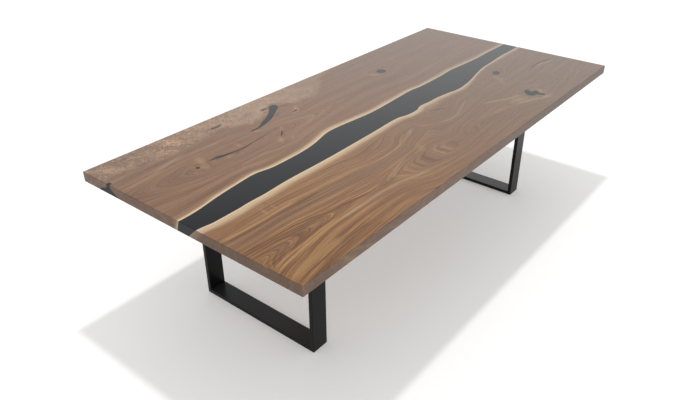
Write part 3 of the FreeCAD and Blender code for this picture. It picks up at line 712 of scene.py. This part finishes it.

# %% [markdown]
# The burl side is quieter in the middle, where long rings close round a row of knots, and wild
# along its outer edge. One curve says where the burl begins, and it is listed as the knots are.

# %% Knots and border of the burl side
burl_knots = [
    ((-0.975, 0.255), 0.045, 1.5, 0.02), ((-0.53, 0.215), 0.04, 1.6, 0.012),
    ((-0.3, 0.352), 0.04, 1.8, 0.01), ((0.425, 0.352), 0.065, 1.6, 0.015),
    ((-0.44, 0.41), 0.055, 2.6, 0.012),
]
burl_start = [
    (-1.31, 0.44), (-1.2, 0.45), (-1.1, 0.45), (-1.0, 0.425), (-0.9, 0.435), (-0.8, 0.455), (-0.7, 0.465),
    (-0.6, 0.44), (-0.5, 0.395), (-0.42, 0.42), (-0.35, 0.47), (-0.28, 0.47), (-0.2, 0.4), (-0.1, 0.4),
    (0.0, 0.44), (0.1, 0.52), (0.3, 0.6), (0.4, 0.66),
]
print(len(burl_knots), "knots for the burl side")

# %% [markdown]
# On the burl side many lines are smoky, because bark runs on from the cracks along the grain.
# They are written as on the grain side.

# %% Lines of the burl side
burl_lines = [
    (slate, 0.40, 0.020, [(-1.33, 0.4), (-1.2, 0.425), (-1.1, 0.435), (-1.0, 0.405), (-0.9, 0.41),
                          (-0.8, 0.435), (-0.65, 0.455), (-0.55, 0.46)]),
    (pale_tan, 0.35, 0.012, [(-1.33, 0.345), (-1.2, 0.35), (-1.1, 0.372), (-1.0, 0.4), (-0.93, 0.41)]),
    (quiet_dark, 0.50, 0.005, [(-1.02, 0.155), (-0.9, 0.15), (-0.75, 0.158), (-0.62, 0.135), (-0.5, 0.14)]),
    (pale_tan, 0.25, 0.010, [(-0.9, 0.13), (-0.75, 0.138), (-0.6, 0.115), (-0.45, 0.13), (-0.3, 0.15)]),
    (pale_tan, 0.25, 0.008, [(-0.4, 0.2), (-0.3, 0.215), (-0.2, 0.24), (-0.1, 0.27)]),
    (orange_halo, 0.40, 0.005, [(0.32, 0.168), (0.45, 0.16), (0.6, 0.172), (0.8, 0.18), (1.0, 0.172),
                                (1.25, 0.165)]),
    (quiet_dark, 0.40, 0.004, [(0.35, 0.146), (0.5, 0.148), (0.7, 0.16), (0.9, 0.16)]),
    (smoke, 0.55, 0.003, [(-0.91, 0.342), (-0.85, 0.347), (-0.75, 0.342), (-0.6, 0.352)]),
    (smoke, 0.90, 0.005, [(-0.92, 0.268), (-0.86, 0.258), (-0.8, 0.25), (-0.74, 0.25)]),
    (smoke, 0.85, 0.004, [(-0.85, 0.247), (-0.79, 0.24), (-0.73, 0.247), (-0.68, 0.256)]),
    (smoke, 0.60, 0.004, [(-0.46, 0.425), (-0.4, 0.456), (-0.36, 0.478), (-0.31, 0.494)]),
    (smoke, 0.60, 0.004, [(-0.34, 0.47), (-0.3, 0.452), (-0.26, 0.436), (-0.22, 0.428)]),
    (smoke, 0.50, 0.004, [(-0.68, 0.266), (-0.58, 0.276), (-0.5, 0.284), (-0.42, 0.29)]),
]
print(len(burl_lines), "lines for the burl side")

# %% [markdown]
# The stains of the burl side are orange halos round the knots, the eye-shaped one above all, and
# smoke round the cracks. A material has only so much room, and this one is nearly full: a new
# stain here takes the place of an old one.

# %% Stains of the burl side
burl_stains = [
    (orange_halo, 0.42, (-0.945, 0.305), 0.050, 0.028, 1.2),
    (orange_halo, 0.36, (-0.968, 0.245), 0.038, 0.022, 1.3),
    (orange_halo, 0.35, (-0.740, 0.290), 0.028, 0.014, 1.4),
    (slate, 0.40, (-0.86, 0.215), 0.070, 0.018, -0.2),
    (slate, 0.30, (-1.10, 0.270), 0.060, 0.030, 0.5),
    (orange_halo, 0.40, (-0.835, 0.236), 0.035, 0.011, 0.1),
    (orange_halo, 0.50, (-0.580, 0.180), 0.042, 0.018, 0.9),
    (orange_halo, 0.50, (-0.495, 0.255), 0.040, 0.012, 0.8),
    (orange_halo, 0.35, (-0.525, 0.155), 0.030, 0.012, 0.6),
    (slate, 0.45, (-0.505, 0.208), 0.030, 0.012, 0.8),
    (orange_halo, 0.50, (-0.275, 0.365), 0.050, 0.016, 0.9),
    (orange_halo, 0.40, (-0.310, 0.336), 0.035, 0.010, 0.0),
    (pale_tan, 0.50, (0.350, 0.350), 0.055, 0.022, 1.9),
    (slate, 0.35, (0.430, 0.260), 0.050, 0.015, 0.2),
    (orange_halo, 0.40, (-0.585, 0.330), 0.030, 0.014, 0.3),
    (orange_halo, 0.45, (-0.535, 0.414), 0.022, 0.014, 0.3),
    (orange_halo, 0.45, (-0.880, 0.545), 0.050, 0.035, 0.6),
    (slate, 0.55, (-1.080, 0.580), 0.090, 0.022, 0.1),
    (slate, 0.60, (-0.490, 0.500), 0.050, 0.025, 0.3),
    (cream, 0.40, (-0.365, 0.508), 0.055, 0.010, -0.2),
    (smoke, 0.65, (-0.665, 0.510), 0.050, 0.016, 0.1),
    (smoke, 0.95, (-0.870, 0.279), 0.024, 0.008, -0.1),
    (smoke, 0.90, (-0.605, 0.316), 0.028, 0.006, -0.6),
    (smoke, 0.90, (-0.512, 0.238), 0.045, 0.005, 0.75),
    (smoke, 0.60, (-0.885, 0.270), 0.048, 0.012, -0.1),
    (smoke, 0.40, (-0.785, 0.240), 0.035, 0.006, 0.3),
    (smoke, 0.30, (-0.540, 0.272), 0.060, 0.008, 0.1),
    (smoke, 0.95, (-0.379, 0.481), 0.028, 0.010, -0.45),
    (smoke, 0.70, (-0.330, 0.490), 0.035, 0.012, 0.2),
    (smoke, 0.45, (-0.290, 0.445), 0.050, 0.012, -0.7),
    (cream, 0.45, (-0.385, 0.463), 0.022, 0.007, 0.4),
    (smoke, 0.55, (-0.470, 0.395), 0.060, 0.012, 0.6),
    (smoke, 0.45, (-0.390, 0.385), 0.040, 0.010, 0.6),
]
burl_sap_breadth = [
    (-1.31, 0.012), (-1.1, 0.015), (-0.7, 0.02), (-0.3, 0.027), (0.3, 0.025), (0.8, 0.025), (1.31, 0.023),
]
print(len(burl_stains), "stains for the burl side")

# %% [markdown]
# Straight walnut comes first on the burl side, with its drawn lines. Near the river its rings
# follow the edge, and the pith comes up close to the face where they close into long ovals.

# %% Walnut on the burl side
walnut_burl, tree, point, shader = open_material("walnut_burl_side", IOR=walnut_ior)
shift, lift = bend_round(tree, point, burl_knots)
x, y, z = along_axes(point)
edge = place_group(tree, "burl_live_edge", point=point)["Edge"]
edge_rest = 0.045
shift = shift + (edge_rest - edge) * fade(y, 0.17, 0.06)
pith_x, pith_spread, deepest, risen = -0.78, 0.14, 0.100, 0.092
along = x - pith_x
pith_depth = deepest - (along * along / pith_spread).decay() * risen
figure = place_group(tree, "walnut_figure", point=point, shift=shift, lift=lift, pith_y=0.25,
                     pith_depth=pith_depth, band=0.026, line=0.007)
colour = heartwood(figure, (quiet_dark, quiet_mid, quiet_light), weights=(0.32, 0.28, 0.40),
                   levels=((0.39, 0.50), (0.50, 0.62)))
colour = mix(fade(x, -0.9, 0.3) * 0.3 + 0.05, colour, quiet_mid)
colour = draw_lines(tree, point, colour, burl_lines)
print("straight walnut is under the burl")

# %% [markdown]
# The burl lies over it. Beside the blots there is a flame figure, short strokes on a slant, which
# grows stronger behind the front corner. Both share one mix of a dark and a pale tone, and clouds,
# curls and a paler rear go on top. A wave of noise frays the border.

# %% The burl and what lies over it
blot_dark, blot_pale = (0.125, 0.070, 0.046), (0.560, 0.355, 0.220)
cloud_brown, curl_dark = (0.255, 0.155, 0.100), (0.070, 0.042, 0.030)
rear_pale, front_dark = (0.540, 0.385, 0.270), (0.120, 0.080, 0.058)
burl = place_group(tree, "burl_figure", point=point, size=0.022)
along_flame, across_flame = x * 0.64 + y * 0.77, x * 0.77 - y * 0.64
flame = noise(point_at(tree, along_flame * 20, across_flame * 120, z * 120), detail=2, roughness=0.6,
              distortion=1.0)
flamed = fade(x, -0.9, -0.3) * 0.40 + 0.15
blotched = burl["Blots"] * (1.0 - flamed) + fade(flame, 0.38, 0.62) * flamed
burl_colour = mix(blotched, blot_dark, blot_pale)
burl_colour = mix(burl["Clouds"] * 0.35, burl_colour, cloud_brown)
burl_colour = mix(burl["Curls"] * 0.75, burl_colour, curl_dark)
burl_colour = mix(fade(x, -0.8, -0.3) * 0.40, burl_colour, rear_pale)
burl_colour = mix(fade(x, -0.9, -1.3) * 0.25, burl_colour, front_dark)
start = curve_along(tree, x, burl_start)
wave = noise(point, scale=15, detail=4, roughness=0.7) - 0.5
band = fade(y - start + wave * 0.14, -0.015, 0.045) * (fade(x, 0.1, -0.6) * 0.45 + 0.5)
colour = mix(band, colour, burl_colour)
colour = stain(tree, point, colour, burl_stains)
breadth = curve_along(tree, x, burl_sap_breadth)
colour = sapwood(tree, point, colour, y - edge, breadth, breadth * 1.3 + 0.016)
finish_wood(tree, shader, figure, colour, x, soak=0.36)
coat(walnut_burl, "walnut_slab_burl_side")

# %% [markdown]
# The resin is black epoxy, cast, sanded and oiled with the wood. A perfect mirror would look like
# glass, so fine sanding marks and a little dust spread its reflection. Its ends were sawn with the
# slabs, and they are duller than the top.

# %% Black resin
black_resin, tree, point, shader = open_material("black_resin", IOR=1.5)
x, y, z = along_axes(point)
sanding = noise(point_at(tree, x * 40, y * 700, z * 700), detail=2)
cloud = noise(point, scale=3.5, detail=3)
resin_colour = mix(cloud, (0.0040, 0.0055, 0.0075), (0.0060, 0.0080, 0.0105))
feed(tree, shader.inputs["Base Color"], resin_colour)
sawn = fade(facing(tree)[2].size(), 0.8, 0.4)
feed(tree, shader.inputs["Roughness"], cloud * 0.05 + sanding * 0.04 + sawn * 0.5 + 0.10)
bump(tree, shader, sanding, 0.03, 0.0002)
coat(black_resin, *(name for name in nodes if "resin" in name))

# %% [markdown]
# Powder coat is sprayed on dry and melts into a skin with a fine orange-peel texture. Faces that
# point up get a clear coat, which makes them glossier, and a paler colour, which is a painted sheen.
# Bump gives the peel, because real dents this fine would need millions of faces.

# %% Black powder coat
powder, tree, point, shader = open_material("black_powder_coat", Specular_IOR_Level=0.14,
                                            Coat_Roughness=0.2)
peel = noise(point, scale=900, detail=2)
drift = noise(point, scale=6, detail=3)
upward = fade(facing(tree)[2], 0.5, 0.9)
powder_colour = mix(drift * 0.6 + peel * 0.4, (0.0040, 0.0040, 0.0044), (0.0075, 0.0077, 0.0082))
# A painted sheen: faces that point up are made paler.
powder_top_painted_sheen = (0.030, 0.033, 0.038)
feed(tree, shader.inputs["Base Color"], mix(upward * 0.8, powder_colour, powder_top_painted_sheen))
feed(tree, shader.inputs["Roughness"], drift * 0.1 + 0.26)
feed(tree, shader.inputs["Coat Weight"], upward)
bump(tree, shader, peel, 0.12, 0.0002)
coat(powder, *(name for name in nodes if name.endswith(("upright", "floor_bar", "plate", "channel"))))

# %% [markdown]
# Each upright is welded to its mounting plate round three sides. A weld bead is a quarter-round
# run whose radius rises and falls with each step of the torch. A bevelled curve has one radius,
# so the bead is swept as a mesh, a ring of points at a time, along a path round the upright.

# %% A weld bead along a path
weld_radius, torch_step, weld_buried = 0.0048, 0.003, 0.0005
ring_angles = [math.radians(turn) for turn in range(-6, 97, 17)]


def add_object(name, data):
    """A new object of the scene, at the origin."""
    made = bpy.data.objects.new(name, data)
    bpy.context.scene.collection.objects.link(made)
    return made


def bead_stations(corners):
    """Points along a path, four to a step of the torch."""
    stations = []
    for first, second in zip(corners, corners[1:]):
        count = max(2, round((second - first).length / (torch_step / 4)))
        stations += [first.lerp(second, i / count) for i in range(count)]
    return stations + [corners[-1]]


def weld_bead(name, corners, inside):
    """A rippled bead along a path under a plate. It bulges down and away from a point inside."""
    stations = bead_stations(corners)
    shape = bmesh.new()
    rings = []
    for number, place in enumerate(stations):
        ripple = abs(math.sin(number * math.pi / 4)) * 0.10 + math.sin(number * 0.37) * 0.04
        size = weld_radius * (0.92 + ripple)
        ahead = stations[min(number + 1, len(stations) - 1)] - stations[max(number - 1, 0)]
        out = Vector((ahead.y, -ahead.x, 0)).normalized()
        if out.dot(place - inside) < 0:
            out = -out
        heart = place - out * weld_buried + Vector((0, 0, weld_buried))
        ring = [shape.verts.new(heart + out * (size * math.cos(a)) - Vector((0, 0, size * math.sin(a))))
                for a in ring_angles]
        rings.append(ring + [shape.verts.new(heart)])
    for here, ahead in zip(rings, rings[1:]):
        for i in range(len(here)):
            j = (i + 1) % len(here)
            shape.faces.new((here[i], here[j], ahead[j], ahead[i]))
    shape.faces.new(rings[0])
    shape.faces.new(reversed(rings[-1]))
    bmesh.ops.recalc_face_normals(shape, faces=shape.faces)
    mesh = bpy.data.meshes.new(name)
    shape.to_mesh(mesh)
    shape.free()
    for face in mesh.polygons:
        face.use_smooth = True
    mesh.materials.append(powder)
    bead = add_object(name, mesh)
    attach(bead, "root")
    print(name, "has", len(mesh.vertices), "points")


print("a ring of a bead has", len(ring_angles) + 1, "points")

# %% [markdown]
# The four uprights get the same bead. It runs along the wide face on the inside of the frame and
# round onto the two narrow faces, and stops short of the outer face.

# %% Weld beads under the plates
unwelded_share = 0.4
for end in ("front", "rear"):
    for side in ("burl_side", "grain_side"):
        low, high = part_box(f"{end}_leg_{side}_upright")
        outer_y, inner_y = (high.y, low.y) if side == "burl_side" else (low.y, high.y)
        outer_y += (inner_y - outer_y) * unwelded_share
        route = [(low.x, outer_y), (low.x, inner_y), (high.x, inner_y), (high.x, outer_y)]
        middle = Vector(((low.x + high.x) / 2, outer_y, high.z))
        weld_bead(f"{end}_leg_{side}_weld", [Vector((*spot, high.z)) for spot in route], middle)

# %% [markdown]
# The fasteners are bright zinc, the inserts are brass and the pads are rubber. The two metals
# share one function, because they differ only in tone and in how fine their marks are.

# %% Fasteners, inserts and pads
def worked_metal(name, dark, pale, roughness, marks_scale):
    """A metal whose tone and roughness vary with fine marks."""
    finish, tree, point, shader = open_material(name, Metallic=1.0)
    marks = noise(point, scale=marks_scale, detail=3)
    feed(tree, shader.inputs["Base Color"], mix(marks, dark, pale))
    feed(tree, shader.inputs["Roughness"], marks * 0.15 + roughness)
    bump(tree, shader, marks, 0.1, 0.0001)
    return finish


zinc = worked_metal("bolts_and_washers", (0.42, 0.42, 0.43), (0.62, 0.62, 0.62), 0.28, 800)
brass = worked_metal("threaded_inserts", (0.50, 0.37, 0.16), (0.68, 0.52, 0.26), 0.3, 700)
rubber, tree, point, shader = open_material("floor_pads", Roughness=0.8)
grit = noise(point, scale=1200, detail=2)
feed(tree, shader.inputs["Base Color"], mix(grit, (0.012, 0.012, 0.012), (0.03, 0.03, 0.029)))
bump(tree, shader, grit, 0.3, 0.0002)
coat(zinc, *(name for name in nodes if name.endswith(("bolts", "washers"))))
coat(brass, *(name for name in nodes if name.endswith("inserts")))
coat(rubber, *(name for name in nodes if name.endswith("pads")))

# %% [markdown]
# The table stands on a plain white floor, which fills the camera's view and takes the table's
# shadow. More light would bleach the wood with it, so Light Path tells the rays that are seen from
# those that only light things: for the seen ones the floor is greyer and glows, which keeps it
# white and its shadow light.

# %% Floor
def seen(tree):
    """1 for rays from the camera, off gloss or through glass, and 0 for light that falls on things."""
    path = tree.nodes.new("ShaderNodeLightPath")
    rays = [Wire(tree, path.outputs[f"Is {kind} Ray"]) for kind in ("Camera", "Glossy", "Transmission")]
    return calculate(tree, "MAXIMUM", calculate(tree, "MAXIMUM", rays[0], rays[1]), rays[2])


floor_mesh = bpy.data.meshes.new("studio_floor")
floor_reach = 30
floor_corners = [(east * floor_reach, north * floor_reach, 0)
                 for east, north in ((-1, -1), (1, -1), (1, 1), (-1, 1))]
floor_mesh.from_pydata(floor_corners, [], [(0, 1, 2, 3)])
add_object("studio_floor", floor_mesh)
white_floor, tree, point, shader = open_material("white_floor", Roughness=0.9, Specular_IOR_Level=0)
shown = seen(tree)
feed(tree, shader.inputs["Base Color"], mix(shown, (0.9, 0.9, 0.9), (0.83, 0.83, 0.83)))
shader.inputs["Emission Color"].default_value = (1, 1, 1, 1)
x, y, _ = along_axes(point)
away = fade((x * x + y * y).root(), 2.5, 7.0)
feed(tree, shader.inputs["Emission Strength"], shown * (away * 0.12 + 0.232))
floor_mesh.materials.append(white_floor)
print("the floor is", 2 * floor_reach, "m wide")

# %% [markdown]
# A white room could be built round the table. A white sky does the same with no walls to light.
# What gloss sees overhead is darker, as a studio's ceiling is, and keeps the resin black.

# %% Sky
world = bpy.data.worlds.new("studio")
world.use_nodes = True
bpy.context.scene.world = world
sky = world.node_tree
background = sky.nodes["Background"]
background.inputs["Color"].default_value = (1, 1, 1, 1)
direction = Wire(sky, sky.nodes.new("ShaderNodeTexCoord").outputs["Generated"])
glossy = Wire(sky, sky.nodes.new("ShaderNodeLightPath").outputs["Is Glossy Ray"])
sky_light, ceiling_dark = 0.78, 0.91
seen_sky = 1.0 - glossy * fade(along_axes(direction)[2], 0.30, 0.70) * ceiling_dark
feed(sky, background.inputs["Strength"], seen(sky) * (seen_sky - sky_light) + sky_light)
print("the sky lights things at", sky_light)

# %% [markdown]
# One round lamp hangs high over the table and gives the floor its soft-edged shadow. Gloss doesn't
# see it, because the real top shows no glare.

# %% Lamp
lamp_data = bpy.data.lights.new("overhead_softbox", "AREA")
lamp_data.shape = "DISK"
lamp_data.size = 0.35
lamp_data.energy = 165
lamp = add_object("overhead_softbox", lamp_data)
lamp.location = (0.20, 0.38, 6.95)
lamp.visible_glossy = False
print("the lamp hangs", lamp.location.z, "m up")

# %% [markdown]
# The camera stands off the front end, on the grain side, and looks down. Its place, its angles
# and its focal length in pixels were worked out from the table's straight edges.

# %% Camera
camera_data = bpy.data.cameras.new("camera")
camera = add_object("camera", camera_data)
bpy.context.scene.camera = camera
frame_width, focal_pixels = 700, 662.89
camera_data.sensor_width = 36
camera_data.lens = camera_data.sensor_width * focal_pixels / frame_width
camera.location = (-2.5100, -1.7553, 2.0597)
yaw, pitch = math.radians(38.487), math.radians(30.861)
camera.rotation_euler = (math.pi / 2 - pitch, 0, yaw - math.pi / 2)
bpy.context.scene.view_settings.view_transform = "Standard"
print("the camera's lens is", round(camera_data.lens, 2), "mm")
